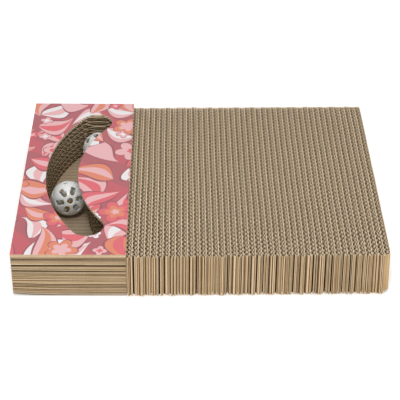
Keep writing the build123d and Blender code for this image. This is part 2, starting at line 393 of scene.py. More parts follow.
def printed_liner(name, colours):
    """Offset-printed white-top liner: ink on coated paper, with a satin face.

    Bands of rose run under curved leaves and a loose scatter of large and small flowers. The liner's
    washboard shows as faint lines in the gloss.
    """
    big = 60 * MM
    small = 32 * MM
    leaf = 46 * MM
    band = 34 * MM
    flow = 90 * MM
    warp = 0.5 * flow
    grain = 0.5 * MM
    material = bpy.data.materials.new(name)
    tree = empty_tree(material)
    place = add(tree, "ShaderNodeTexCoord").outputs["Object"]
    swirl = add(tree, "ShaderNodeTexNoise", {"Vector": place, "Scale": 1 / flow, "Detail": 0.0})
    flowing = add(
        tree, "ShaderNodeVectorMath", {0: swirl.outputs["Color"], 1: (warp, warp, 0.0), 2: place},
        operation="MULTIPLY_ADD",
    )
    bent = add(
        tree, "ShaderNodeTexWave", {"Vector": flowing, "Scale": WAVE_PERIOD / band},
        bands_direction="DIAGONAL",
    )
    banded = add(tree, "ShaderNodeMath", {0: bent.outputs["Fac"], 1: 0.6}, operation="GREATER_THAN")
    paint = add(
        tree, "ShaderNodeMix", {0: banded, 6: colours.print_ground, 7: colours.print_band}, data_type="RGBA"
    ).outputs[2]
    line = colours.print_line
    pale = [colours.print_light, colours.print_white, colours.print_light, colours.print_hot]
    warm = [colours.print_coral, colours.print_light, colours.print_hot, colours.print_light]
    full = [colours.print_light, colours.print_hot, colours.print_coral, colours.print_light]
    for seed, inks in ((4, pale), (9, warm)):
        spoke, chance = motif_grid(tree, flowing, leaf, seed, looseness=0.3)
        reach = leaf_reach(tree, spoke, chance, long=0.5, wide=0.27, bend=0.3)
        paint = paint_motif(
            tree, paint, reach, chance, keep=0.97, outline=1.2, line=line, rings=(1.0, 0.4), inks=inks
        )
    spoke, chance = motif_grid(tree, place, small, seed=5, looseness=0.8)
    reach = flower_reach(tree, spoke, chance, petals=4, radius=0.3)
    paint = paint_motif(
        tree, paint, reach, chance, keep=0.25, outline=1.14, line=line, rings=(1.0, 0.45), inks=pale
    )
    spoke, chance = motif_grid(tree, place, big, seed=2, looseness=0.45)
    reach = flower_reach(tree, spoke, chance, petals=5, radius=0.36)
    paint = paint_motif(
        tree, paint, reach, chance, keep=0.5, outline=1.07, line=line, rings=(1.0, 0.62, 0.26), inks=full
    )
    paper = add(tree, "ShaderNodeTexNoise", {"Vector": place, "Scale": 1 / grain, "Detail": 2})
    gloss = add(tree, "ShaderNodeMapRange", {"Value": paper, "To Min": 0.38, "To Max": 0.5})
    bump = add(tree, "ShaderNodeBump", {"Height": paper, "Strength": 0.08, "Distance": 0.05 * MM})
    shader = add(
        tree, "ShaderNodeBsdfPrincipled",
        {"Base Color": paint, "Roughness": gloss, "IOR": 1.48, "Normal": bump},
    )
    add(tree, "ShaderNodeOutputMaterial", {"Surface": shader})
    return material


def moulded_plastic(name, colours):
    """Injection-moulded polypropylene: glossy and slightly milky, with faint flow marks and fine scuffs."""
    flow = 9 * MM
    scuff = 1.4 * MM
    milk = 5 * MM
    material = bpy.data.materials.new(name)
    tree = empty_tree(material)
    place = add(tree, "ShaderNodeTexCoord").outputs["Object"]
    marks = add(
        tree, "ShaderNodeTexNoise", {"Vector": place, "Scale": 1 / flow, "Detail": 2, "Distortion": 1.2}
    )
    scuffs = add(
        tree, "ShaderNodeTexNoise", {"Vector": place, "Scale": 1 / scuff, "Detail": 4, "Roughness": 0.7}
    )
    tint = add(tree, "ShaderNodeMapRange", {"Value": marks, "To Min": 0.94, "To Max": 1.05})
    body = add(tree, "ShaderNodeHueSaturation", {"Color": colours.plastic, "Value": tint})
    gloss = add(
        tree, "ShaderNodeMapRange",
        {"Value": scuffs, "From Min": 0.4, "From Max": 0.75, "To Min": 0.2, "To Max": 0.38},
    )
    bump = add(tree, "ShaderNodeBump", {"Height": scuffs, "Strength": 0.05, "Distance": 0.05 * MM})
    shader = add(
        tree, "ShaderNodeBsdfPrincipled",
        {
            "Base Color": body, "Roughness": gloss, "IOR": 1.49, "Normal": bump,
            "Subsurface Weight": 0.9, "Subsurface Radius": (1.0, 1.0, 1.0), "Subsurface Scale": milk,
        },
    )
    add(tree, "ShaderNodeOutputMaterial", {"Surface": shader})
    return material


def sheet_metal(name, tint, roughness):
    """Pressed and tumbled metal: bright, with a fine haze from tumbling and a duller bloom in patches."""
    bloom = 3 * MM
    haze = 0.5 * MM
    dulled = roughness + 0.2
    material = bpy.data.materials.new(name)
    tree = empty_tree(material)
    place = add(tree, "ShaderNodeTexCoord").outputs["Object"]
    patches = add(tree, "ShaderNodeTexNoise", {"Vector": place, "Scale": 1 / bloom, "Detail": 3})
    tumbled = add(tree, "ShaderNodeTexNoise", {"Vector": place, "Scale": 1 / haze, "Detail": 3})
    value = add(tree, "ShaderNodeMapRange", {"Value": patches, "To Min": 0.75, "To Max": 1.1})
    body = add(tree, "ShaderNodeHueSaturation", {"Color": tint, "Value": value})
    gloss = add(tree, "ShaderNodeMapRange", {"Value": patches, "To Min": roughness, "To Max": dulled})
    bump = add(tree, "ShaderNodeBump", {"Height": tumbled, "Strength": 0.1, "Distance": 0.03 * MM})
    shader = add(
        tree, "ShaderNodeBsdfPrincipled",
        {"Base Color": body, "Roughness": gloss, "Metallic": 1.0, "Normal": bump},
    )
    add(tree, "ShaderNodeOutputMaterial", {"Surface": shader})
    return material


def finish_piece(piece, body, slot, *nodes, crease=35):
    """Shades a finished mesh, links it to the scene and ties it to the frame."""
    mesh = piece.data
    mesh.polygons.foreach_set("use_smooth", np.ones(len(mesh.polygons), dtype=bool))
    mesh.set_sharp_from_angle(angle=math.radians(crease))
    if piece.name not in bpy.context.scene.collection.objects:
        bpy.context.scene.collection.objects.link(piece)
    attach(piece, body)
    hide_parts(*nodes)


def baked(piece):
    """The piece with its modifiers turned into a plain mesh."""
    graph = bpy.context.evaluated_depsgraph_get()
    mesh = bpy.data.meshes.new_from_object(piece.evaluated_get(graph))
    piece.modifiers.clear()
    piece.data = mesh
    return piece


def values_of(items, name, width=1, kind=float):
    """One property of all of a mesh's vertices, faces or corners, as an array."""
    values = np.empty(len(items) * width, dtype=kind)
    items.foreach_get(name, values)
    return values


def ripple(values, seed, *waves):
    """A smooth random line: a sum of sines with the given wavelengths and heights."""
    dice = random.Random(seed)
    total = np.zeros_like(values)
    for wavelength, height in waves:
        total += height * np.sin(math.tau * (values / wavelength + dice.random()))
    return total


def flute_wave(tree, given, pitch, along, up, ply):
    """The wave of a ply, from -1 to 1: it leans and strays a little, and it is crushed at the back."""
    crushed_turns = 0.8
    stray_rate = 0.11
    stray_turns = 0.25
    leaning = add(tree, "ShaderNodeMath", {0: up, 1: given["Skew"], 2: along}, operation="MULTIPLY_ADD")
    turns = add(tree, "ShaderNodeMath", {0: leaning, 1: pitch}, operation="DIVIDE")
    before = add(tree, "ShaderNodeMath", {0: along, 1: given["Length"]}, operation="SUBTRACT")
    reach = add(tree, "ShaderNodeMath", {0: before, 1: given["Crush Depth"]}, operation="DIVIDE")
    crush = add(tree, "ShaderNodeMath", {0: reach}, operation="EXPONENT")
    folded = add(tree, "ShaderNodeMath", {0: crush, 1: crushed_turns, 2: turns}, operation="MULTIPLY_ADD")
    wobble = add(
        tree, "ShaderNodeTexNoise", {"W": turns, "Scale": stray_rate, "Detail": 0.0},
        noise_dimensions="1D",
    )
    strayed = add(
        tree, "ShaderNodeMath", {0: wobble, 1: stray_turns, 2: folded}, operation="MULTIPLY_ADD"
    )
    started = add(tree, "ShaderNodeMath", {0: strayed, 1: given["Phase"]}, operation="ADD")
    number = add(tree, "FunctionNodeInputInt", integer=ply)
    chance = add(
        tree, "FunctionNodeRandomValue", {"ID": number, "Seed": given["Seed"]}, data_type="FLOAT"
    )
    shifted = add(tree, "ShaderNodeMath", {0: started, 1: chance.outputs[1]}, operation="ADD")
    angle = add(tree, "ShaderNodeMath", {0: shifted, 1: math.tau}, operation="MULTIPLY")
    return add(tree, "ShaderNodeMath", {0: angle}, operation="SINE")


def closed_ply(tree, face, thickness, ply):
    """A ply with a back and edges, made from its face. It carries its number and marks its cut edges."""
    weld = 0.001 * MM
    numbered = add(
        tree, "GeometryNodeStoreNamedAttribute", {"Geometry": face, "Name": "ply", "Value": float(ply)},
        data_type="FLOAT", domain="POINT",
    )
    thick = add(
        tree, "GeometryNodeExtrudeMesh",
        {"Mesh": numbered, "Offset Scale": thickness, "Individual": False}, mode="FACES",
    )
    marked = add(
        tree, "GeometryNodeStoreNamedAttribute",
        {"Geometry": thick, "Name": "cut_edge", "Value": thick.outputs["Side"]},
        data_type="FLOAT", domain="FACE",
    )
    rear = add(tree, "GeometryNodeFlipFaces", {"Mesh": numbered})
    both = add(tree, "GeometryNodeJoinGeometry", {0: marked})
    tree.links.new(rear.outputs[0], both.inputs[0])
    return add(tree, "GeometryNodeMergeByDistance", {"Geometry": both, "Distance": weld})


def board_tree():
    """Geometry Nodes for a double-wall board on edge: plies along X, length along Y, flutes along Z."""
    levels = 5
    crowding = 2.6
    tree = bpy.data.node_groups.new("corrugated_board", "GeometryNodeTree")
    kinds = {"Seed": "NodeSocketInt", "Paper": "NodeSocketMaterial"}
    names = (
        "Length", "Height", "Thickness", "Coarse Pitch", "Fine Pitch", "Coarse Share",
        "Liner", "Medium", "Washboard", "Crush Depth", "Phase", "Skew", "Seed", "Paper",
    )
    sockets = {}
    for name in names:
        kind = kinds.get(name, "NodeSocketFloat")
        sockets[name] = tree.interface.new_socket(name, in_out="INPUT", socket_type=kind).identifier
    tree.interface.new_socket("Board", in_out="OUTPUT", socket_type="NodeSocketGeometry")
    given = add(tree, "NodeGroupInput").outputs
    plies = add(tree, "GeometryNodeJoinGeometry")
    room = add(tree, "ShaderNodeMath", {0: given["Thickness"], 1: given["Liner"]}, operation="SUBTRACT")
    coarse = add(tree, "ShaderNodeMath", {0: room, 1: given["Coarse Share"]}, operation="MULTIPLY")
    fine = add(tree, "ShaderNodeMath", {0: room, 1: coarse}, operation="SUBTRACT")
    layers = (
        (0.0, 0.0, "Coarse Pitch"),
        (0.0, coarse, "Coarse Pitch"),
        (coarse, 0.0, "Coarse Pitch"),
        (coarse, fine, "Fine Pitch"),
        (room, 0.0, "Fine Pitch"),
    )
    for ply, (below, row, pitch_name) in enumerate(layers):
        fluted = ply % 2 == 1
        pitch = given[pitch_name]
        thickness = given["Medium"] if fluted else given["Liner"]
        flutes = add(tree, "ShaderNodeMath", {0: given["Length"], 1: pitch}, operation="DIVIDE")
        density = FLUTE_POINTS if fluted else LINER_POINTS
        count = add(tree, "ShaderNodeMath", {0: flutes, 1: density}, operation="MULTIPLY")
        grid = add(
            tree, "GeometryNodeMeshGrid",
            {"Size X": given["Length"], "Size Y": given["Height"], "Vertices X": count, "Vertices Y": levels},
        )
        point = add(tree, "ShaderNodeSeparateXYZ", {0: add(tree, "GeometryNodeInputPosition")})
        along = add(
            tree, "ShaderNodeMath", {0: given["Length"], 1: 0.5, 2: point.outputs[0]},
            operation="MULTIPLY_ADD",
        )
        rise = add(tree, "ShaderNodeMath", {0: point.outputs[1], 1: given["Height"]}, operation="DIVIDE")
        left = add(tree, "ShaderNodeMath", {0: 0.5, 1: rise}, operation="SUBTRACT")
        power = add(tree, "ShaderNodeMath", {0: left, 1: crowding}, operation="POWER")
        lifted = add(tree, "ShaderNodeMath", {0: 1.0, 1: power}, operation="SUBTRACT")
        up = add(tree, "ShaderNodeMath", {0: lifted, 1: given["Height"]}, operation="MULTIPLY")
        wave = flute_wave(tree, given, pitch, along, up, ply)
        if fluted:
            paper = add(tree, "ShaderNodeMath", {0: given["Liner"], 1: given["Medium"]}, operation="ADD")
            free = add(tree, "ShaderNodeMath", {0: row, 1: paper}, operation="SUBTRACT")
            swing = add(tree, "ShaderNodeMath", {0: free, 1: 0.5}, operation="MULTIPLY")
        else:
            swing = given["Washboard"]
        middle = add(tree, "ShaderNodeMath", {0: row, 1: 0.5, 2: below}, operation="MULTIPLY_ADD")
        centred = add(
            tree, "ShaderNodeMath", {0: given["Liner"], 1: 0.5, 2: middle}, operation="MULTIPLY_ADD"
        )
        level = add(tree, "ShaderNodeMath", {0: thickness, 1: -0.5, 2: centred}, operation="MULTIPLY_ADD")
        across = add(tree, "ShaderNodeMath", {0: wave, 1: swing, 2: level}, operation="MULTIPLY_ADD")
        spot = add(tree, "ShaderNodeCombineXYZ", {0: across, 1: along, 2: up})
        face = add(tree, "GeometryNodeSetPosition", {"Geometry": grid, "Position": spot})
        closed = closed_ply(tree, face, thickness, ply)
        tree.links.new(closed.outputs[0], plies.inputs[0])
    whole = add(tree, "GeometryNodeRealizeInstances", {0: plies})
    papered = add(tree, "GeometryNodeSetMaterial", {"Geometry": whole, "Material": given["Paper"]})
    add(tree, "NodeGroupOutput", {0: papered})
    return tree, sockets


def pocket_shade(front_depth, back_depth, board):
    """The painted shade of paper in a flute that the saw cut open along it, at the front or the back."""
    depth = np.minimum(front_depth, back_depth) / board.pocket_shade
    return board.pocket_dark * np.clip(depth, 0, 1)


def wear_strip(points, plies, size, place, index, board):
    """Where sawing, gluing and scratching leave a strip's points, and the painted shade at each one."""
    ply_shift = 31 * MM
    top_waves = ((31 * MM, 0.5), (8.7 * MM, 0.4), (4.3 * MM, 0.35))
    side_waves = ((43 * MM, 0.5), (17 * MM, 0.3))
    lean_reach = 60 * MM
    sway_start = 30 * MM
    sway_share = 0.67
    slow_along, slow_across = 47 * MM, 90 * MM
    quick_along, quick_across = 19 * MM, 35 * MM
    dice = random.Random(index)
    x, y, z = (points[:, axis].copy() for axis in range(3))
    thick, long, high = size
    # Painted shade, deeper the further a point lies behind the sawn front or back
    inside = pocket_shade(y, long - y, board)
    top = z > high - TOUCH
    bottom = z < TOUCH
    z[top] += board.fray * ripple(y + plies * ply_shift, index, *top_waves)[top]
    # Sines of a ply's and a strip's number leave each one cut off at another place, in no visible order
    jagged = 0.5 * board.fray * (1 + np.sin(2.1 * plies + 1.3 * index))
    z[bottom] += jagged[bottom] + board.lift * dice.random()
    if index == STRIP_COUNT:
        # The outermost strip shows its face, which gets no painted shade, and its front corner is worn round
        inside[x > thick - board.liner / 2] = 0
        bend = np.clip(board.pad_corner - y, 0, board.pad_corner)
        tucked = board.pad_corner - np.sqrt(board.pad_corner**2 - bend**2)
        z += board.pad_corner * np.exp(-y / board.pad_corner) * (1 - z / high) ** 4 * x / thick
        x *= 1 - tucked / thick
    for end, inward in enumerate((y.copy(), long - y)):
        fade = np.exp(-inward / board.pinch_depth)
        aside = thick * dice.uniform(0.25, 0.75)
        x += (aside - x) * board.pinch * dice.random() * fade
        cut_off = board.fray * np.sin(2.4 * plies + 1.7 * index + 3.1 * end)
        y += np.where(inward < TOUCH, cut_off, 0)
    x += 0.5 * board.fray * ripple(y, index + 100, *side_waves)
    world_x = place[0] + x
    outward = (world_x - BLOCK_HIGH[0]) / (CAD_BOX[1][0] - BLOCK_HIGH[0])
    x += board.pad_lean * (0.5 - z / high) * np.exp(-y / lean_reach) * outward**2
    rooted = np.clip((world_x - BLOCK_HIGH[0]) / sway_start, 0, 1)
    slow = np.sin(y / slow_along + world_x / slow_across)
    quick = np.sin(y / quick_along + world_x / quick_across + 1.3)
    x += board.sway * rooted * (slow + 0.5 * quick) * sway_share
    return np.column_stack((place[0] + x, place[1] + y, place[2] + z)), inside


def dress_strip(mesh, size, place, index, board):
    """Tones a strip's cut edges, wears it and marks the painted shade on its paper."""
    plies = values_of(mesh.attributes["ply"].data, "value")
    edges = values_of(mesh.attributes["cut_edge"].data, "value")
    normals = values_of(mesh.polygons, "normal", 3)
    starts = values_of(mesh.polygons, "loop_start", kind=int)
    corners = values_of(mesh.loops, "vertex_index", kind=int)
    sawn = np.abs(normals[1::3]) > 0.9
    flat = np.round(plies[corners[starts]]) % 2 == 0
    edges[sawn] *= board.sawn_edge
    edges[flat & ~sawn] *= board.liner_edge
    mesh.attributes["cut_edge"].data.foreach_set("value", edges)
    mesh.attributes.remove(mesh.attributes["ply"])
    points = values_of(mesh.vertices, "co", 3).reshape(-1, 3)
    worn, inside = wear_strip(points, plies, size, place, index, board)
    mesh.vertices.foreach_set("co", worn.ravel())
    mesh.attributes.new("inside", "FLOAT", "POINT").data.foreach_set("value", inside)
    mesh.update()


class SCRATCHER_OT_pad(Operator):
    """Makes the pad's upright strips of double-wall board"""

    bl_idname = "scratcher.pad"
    bl_label = "Pad Strips"

    def execute(self, context):
        board = context.scene.scratcher_board
        paper = kraft_paper("kraft_pad_board", context.scene.scratcher_colours)
        tree, sockets = board_tree()
        seed = 11
        dice = random.Random(seed)
        strips = []
        for index in range(1, STRIP_COUNT + 1):
            node = f"pad_strip_{index:02}"
            low, high = (Vector(corner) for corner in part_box(node))
            strip = bpy.data.objects.new(f"strip_{index:02}", bpy.data.meshes.new("strip"))
            context.scene.collection.objects.link(strip)
            nodes = strip.modifiers.new("board", "NODES")
            nodes.node_group = tree
            stretch = dice.uniform(0.995, 1.005)
            values = {
                "Length": high.y - low.y,
                "Height": high.z - low.z,
                "Thickness": high.x - low.x,
                "Coarse Pitch": board.coarse_pitch * stretch,
                "Fine Pitch": board.fine_pitch * stretch,
                "Coarse Share": board.coarse_share,
                "Liner": board.liner,
                "Medium": board.medium,
                "Washboard": board.washboard,
                "Crush Depth": board.crush_depth,
                "Phase": dice.random(),
                "Skew": math.tan(board.strip_skew) * dice.uniform(-1, 1),
                "Seed": index,
                "Paper": paper,
            }
            for name, value in values.items():
                nodes[sockets[name]] = value
            strips.append((strip, node, low, high - low))
        for index, (strip, node, low, size) in enumerate(strips, 1):
            dress_strip(baked(strip).data, size, low, index, board)
            finish_piece(strip, "base", "pad_board", node)
        return {"FINISHED"}


def track_cut(track):
    """The track's arc: its centre, radius, width and half angle."""
    size = [BLOCK_HIGH[axis] - BLOCK_LOW[axis] for axis in range(2)]
    half_chord = size[1] / 2 - track.end_wall - track.width / 2
    rise = size[0] - track.side_wall - track.pad_wall - track.width
    radius = (half_chord**2 + rise**2) / (2 * rise)
    centre = (
        BLOCK_LOW[0] + track.side_wall + track.width / 2 + radius,
        BLOCK_LOW[1] + size[1] / 2 + track.back_shift,
    )
    return centre, radius, track.width, math.asin(half_chord / radius)


def slot_cut(track):
    """The arc of the slot over the track, given in the same way."""
    centre, radius, width, half_angle = track_cut(track)
    slot_radius = radius + (width - track.slot_width) / 2 - track.outer_lip
    reach = half_angle + width / 2 / radius
    slot_angle = reach - (track.slot_width / 2 + track.end_lip) / slot_radius
    return centre, slot_radius, track.slot_width, slot_angle


def cut_rows(cut):
    """The rows along Y that the round ends of a curved cut need."""
    centre, radius, width, half_angle = cut
    swing = np.radians(np.arange(-75, CAP_TIP + 1, 8))
    away = radius * math.sin(half_angle) + width / 2 * np.sin(swing)
    return np.concatenate((centre[1] - away, centre[1] + away))


def cut_span(rows, cut):
    """The left and right wall of a curved cut at each row, and which rows lie inside it."""
    centre, radius, width, half_angle = cut
    half = width / 2
    end_x = centre[0] - radius * math.cos(half_angle)
    end_y = radius * math.sin(half_angle)
    slack = 0.001 * MM
    tip = end_y + half * math.sin(math.radians(CAP_TIP))
    away = np.abs(rows - centre[1])
    inside = away <= tip + slack
    away = np.minimum(away, tip)
    cap = np.sqrt(np.maximum(half**2 - (away - end_y) ** 2, 0))
    walls = []
    for side, side_radius in ((-1, radius + half), (1, radius - half)):
        arc = centre[0] - np.sqrt(np.maximum(side_radius**2 - away**2, 0))
        walls.append(np.where(away < side_radius * math.sin(half_angle), arc, end_x + side * cap))
    return walls[0], walls[1], inside


def ply_mesh(across, along, height, slope, thickness, gaps, wall_kind):
    """The points, faces and kinds of face of a thin closed sheet over a grid with gaps in it."""
    rows, columns = across.shape
    tilt = np.hypot(1, slope)
    lean = slope / tilt
    lean[[0, -1]] = 0
    points = []
    for half in (thickness / 2, -thickness / 2):
        points.append(np.stack((across, along - half * lean, height + half / tilt), -1).reshape(-1, 3))
    below = rows * columns
    faces = []
    kinds = []
    for row in range(rows - 1):
        for column in range(columns - 1):
            if gaps[row, column]:
                continue
            a = row * columns + column
            b, c, d = a + 1, a + columns + 1, a + columns
            faces += [(a, b, c, d), (d + below, c + below, b + below, a + below)]
            kinds += [TOP, BELOW]
            sides = (
                (row == 0, row > 0 and gaps[row - 1, column], a, b),
                (row == rows - 2, row < rows - 2 and gaps[row + 1, column], c, d),
                (column == 0, column > 0 and gaps[row, column - 1], d, a),
                (column == columns - 2, column < columns - 2 and gaps[row, column + 1], b, c),
            )
            for outer, walled, first, second in sides:
                if outer or walled:
                    faces.append((first + below, second + below, second, first))
                    kinds.append(OUTER_EDGE if outer else wall_kind)
    return np.concatenate(points), faces, kinds


def sheet_grid(low, high, front, back, spacing, cut):
    """A ply's rows along Y and columns along X, crowded where it is cut, and the cells that the cut takes."""
    rim = 1.5 * MM
    uncut_reach = 20 * MM
    least_gap = 0.12 * spacing
    rows = np.linspace(front, back, int((back - front) / spacing) + 1)
    if cut:
        ends = cut_rows(cut)
        apart = np.min(np.abs(rows[:, None] - ends[None, :]), axis=1) > least_gap
        apart[[0, -1]] = True
        rows = np.sort(np.concatenate((rows[apart], ends)))
        wall_left, wall_right, open_rows = cut_span(rows, cut)
    else:
        middle = (low[0] + high[0]) / 2
        wall_left = np.full_like(rows, middle - uncut_reach)
        wall_right = np.full_like(rows, middle + uncut_reach)
        open_rows = np.zeros(len(rows), dtype=bool)
    start, stop = np.full_like(rows, low[0]), np.full_like(rows, high[0])
    left = (start, start + rim, (start + wall_left) / 2, wall_left - rim, wall_left)
    right = (wall_right, wall_right + rim, stop)
    across = np.column_stack(left + right)
    gaps = np.zeros((len(rows) - 1, across.shape[1] - 1), dtype=bool)
    gaps[:, len(left) - 1] = open_rows[:-1] & open_rows[1:]
    return across, np.repeat(rows[:, None], across.shape[1], axis=1), gaps


def settle(points, board):
    """Presses up the block's worn lower corner, at the front of its outer side."""
    across, along = 14 * MM, 25 * MM
    x, y, z = points.T
    height = BLOCK_HIGH[2] - BLOCK_LOW[2]
    fade = np.exp(-(x - BLOCK_LOW[0]) / across - np.abs(y - BLOCK_LOW[1]) / along)
    points[:, 2] += board.block_corner * fade * (1 - z / height) ** 3
    return points


def flat_board(name, node, flutes, board, seed, papers, cut=None, weight=1.0, pale=(1.0, 1.0)):
    """A sheet of the block, flutes along X, as one mesh of closed plies with a curved cut through it.

    The rows of flutes are given from the bottom up, each as its share of the sheet and its pitch. The last of
    the papers is the one on top. The weight makes plies thicker than those of the other boards. The outer
    edges and the cut's wall can be paler or darker.
    """
    flute_waves = ((90 * MM, 0.5), (37 * MM, 0.4))
    pinch_waves = ((61 * MM, 0.6), (23 * MM, 0.5))
    tear_waves = ((40 * MM, 1), (15 * MM, 0.6))
    low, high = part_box(node)
    dice = random.Random(seed)
    liner = weight * board.liner
    medium = weight * board.medium
    room = high[2] - low[2] - liner
    last = 2 * len(flutes)
    front = low[1] + dice.uniform(-0.5, 0.5) * board.fray
    back = high[1] + dice.uniform(-0.5, 0.5) * board.fray
    squeezes = [board.pinch * dice.uniform(0.15, 0.9) for end in range(2)]
    targets = [(low[2] + high[2]) / 2 + dice.uniform(-0.06, 0.06) * room for end in range(2)]
    skew = math.tan(board.sheet_skew) * dice.uniform(-1, 1)
    points, shades, faces, kinds, printed = [], [], [], [], []
    base = 0
    for ply in range(last + 1):
        fluted = ply % 2 == 1
        share, pitch = flutes[min(ply // 2, len(flutes) - 1)]
        below = sum(row[0] for row in flutes[:ply // 2])
        level = low[2] + liner / 2 + room * (below + (share / 2 if fluted else 0))
        thickness = medium if fluted else liner
        spacing = pitch / (FLUTE_POINTS if fluted else LINER_POINTS)
        across, along, gaps = sheet_grid(low, high, front, back, spacing, cut)
        turns = (along + skew * across) / pitch + dice.random()
        angle = math.tau * turns + ripple(along, seed * 7 + ply, *flute_waves)
        slope = np.zeros_like(along)
        if fluted:
            swing = (room * share - liner - medium) / 2
            height = level + swing * np.sin(angle)
            slope = swing * math.tau / pitch * np.cos(angle)
        else:
            inward = {0: 1, last: -1}.get(ply, 0)
            height = level + inward * board.washboard * (0.5 + 0.5 * np.sin(angle))
        # Painted shade behind the sheet's front and back, kept lighter in a sheet with a cut
        inside = pocket_shade(along - front, back - along, board)
        if cut:
            inside = np.minimum(inside, board.track_shade)
        for end, inward in enumerate((along - front, back - along)):
            fade = np.exp(-inward / board.pinch_depth)
            uneven = 1 + 0.5 * ripple(across, seed * 13 + end, *pinch_waves)
            height += (targets[end] - height) * squeezes[end] * fade * uneven
            torn = 0.4 * ripple(across, seed + ply, *tear_waves)
            cut_off = board.fray * (0.7 * math.sin(ply * 2.4 + seed * 1.7 + end) + torn)
            along = along + np.where(inward < TOUCH, cut_off, 0)
        wall_kind = FLUTE_WALL if fluted else LINER_WALL
        found, quads, sides = ply_mesh(across, along, height, slope, thickness, gaps, wall_kind)
        points.append(settle(found, board))
        # The outer faces of the lowest and the top ply get no painted shade
        bare = np.zeros(across.size)
        shades += [bare if ply == last else inside.ravel(), bare if ply == 0 else inside.ravel()]
        faces += [tuple(corner + base for corner in quad) for quad in quads]
        kinds += sides
        printed += [ply == last and side == TOP for side in sides]
        base += len(found)
    mesh = bpy.data.meshes.new(name)
    mesh.from_pydata(np.concatenate(points).tolist(), [], faces)
    mesh.attributes.new("inside", "FLOAT", "POINT").data.foreach_set("value", np.concatenate(shades))
    edge = np.array([0.0, 0.0, *pale, board.liner_edge * pale[1]])[kinds]
    mesh.attributes.new("cut_edge", "FLOAT", "FACE").data.foreach_set("value", edge)
    for paper in papers:
        mesh.materials.append(paper)
    mesh.polygons.foreach_set("material_index", np.array(printed, dtype=int) * (len(papers) - 1))
    return bpy.data.objects.new(name, mesh)


def double_wall(board):
    """The rows of flutes in a double-wall board."""
    return (board.coarse_share, board.coarse_pitch), (1 - board.coarse_share, board.fine_pitch)


def single_wall(pitch):
    """The one row of flutes in a single-wall board."""
    return ((1.0, pitch),)


class SCRATCHER_OT_floor_sheet(Operator):
    """Makes the single-wall sheet that the block stands on and the balls roll on"""

    bl_idname = "scratcher.floor_sheet"
    bl_label = "Floor Sheet"

    def execute(self, context):
        board = context.scene.scratcher_board
        colours = context.scene.scratcher_colours
        # Toned darker: partly the sheet's own duller paper, partly painted shade for the track floor
        paper = kraft_paper("kraft_floor_board", colours, tone=0.64, strength=0.72, lines=0.14)
        flutes = single_wall(board.fine_pitch)
        sheet = flat_board("block_floor", "floor_sheet", flutes, board, 3, [paper])
        finish_piece(sheet, "base", "block_board", "floor_sheet")
        return {"FINISHED"}


class SCRATCHER_OT_track_sheets(Operator):
    """Makes the double-wall sheets with the curved track cut out of them"""

    bl_idname = "scratcher.track_sheets"
    bl_label = "Track Sheets"

    def execute(self, context):
        board = context.scene.scratcher_board
        cut = track_cut(context.scene.scratcher_track)
        paper = kraft_paper("kraft_block_board", context.scene.scratcher_colours, tone=0.765)
        for index in range(1, TRACK_SHEETS + 1):
            node = f"track_sheet_{index}"
            name = f"block_sheet_{index}"
            sheet = flat_board(name, node, double_wall(board), board, 20 + index, [paper], cut)
            finish_piece(sheet, "base", "block_board", node)
        return {"FINISHED"}


class SCRATCHER_OT_printed_top(Operator):
    """Makes the printed single-wall sheet with the slot over the track"""

    bl_idname = "scratcher.printed_top"
    bl_label = "Printed Top"

    def execute(self, context):
        board = context.scene.scratcher_board
        colours = context.scene.scratcher_colours
        papers = [
            kraft_paper("kraft_top_board", colours, tone=1.04, strength=0.85),
            printed_liner("printed_white_top_liner", colours),
        ]
        sheet = flat_board(
            "block_printed_top", "printed_top_sheet", single_wall(board.print_pitch), board, 41, papers,
            cut=slot_cut(context.scene.scratcher_track), weight=1.6, pale=(0.4, 1.0),
        )
        finish_piece(sheet, "base", "printed_board", "printed_top_sheet")
        return {"FINISHED"}


def lathe(name, profile, segments):
    """A closed mesh from a profile of radius and height that starts and ends on the Z axis."""
    points = [(0, 0, profile[0][1])]
    faces = []
    inner = profile[1:-1]
    for radius, height in inner:
        for step in range(segments):
            angle = math.tau * step / segments
            points.append((radius * math.cos(angle), radius * math.sin(angle), height))
    points.append((0, 0, profile[-1][1]))
    last = len(points) - 1
    for step in range(segments):
        after = (step + 1) % segments
        faces.append((0, 1 + step, 1 + after))
        for ring in range(len(inner) - 1):
            near = 1 + ring * segments
            far = near + segments
            faces.append((near + step, far + step, far + after, near + after))
        faces.append((last, last - segments + after, last - segments + step))
    mesh = bpy.data.meshes.new(name)
    mesh.from_pydata(points, [], faces)
    return bpy.data.objects.new(name, mesh)


def round_rectangle(long, wide, front_radius, back_radius):
    """Outline points and the way each one faces, X away from the pole: the two ends' corners may differ."""
    corners = (
        (long / 2 - front_radius, wide / 2 - front_radius, front_radius, 0),
        (back_radius - long / 2, wide / 2 - back_radius, back_radius, 90),
        (back_radius - long / 2, back_radius - wide / 2, back_radius, 180),
        (long / 2 - front_radius, front_radius - wide / 2, front_radius, 270),
    )
    points = []
    for x, y, radius, start in corners:
        for turn in range(0, 91, 15):
            angle = math.radians(start + turn)
            points.append((x + radius * math.cos(angle), y + radius * math.sin(angle), angle))
    return points


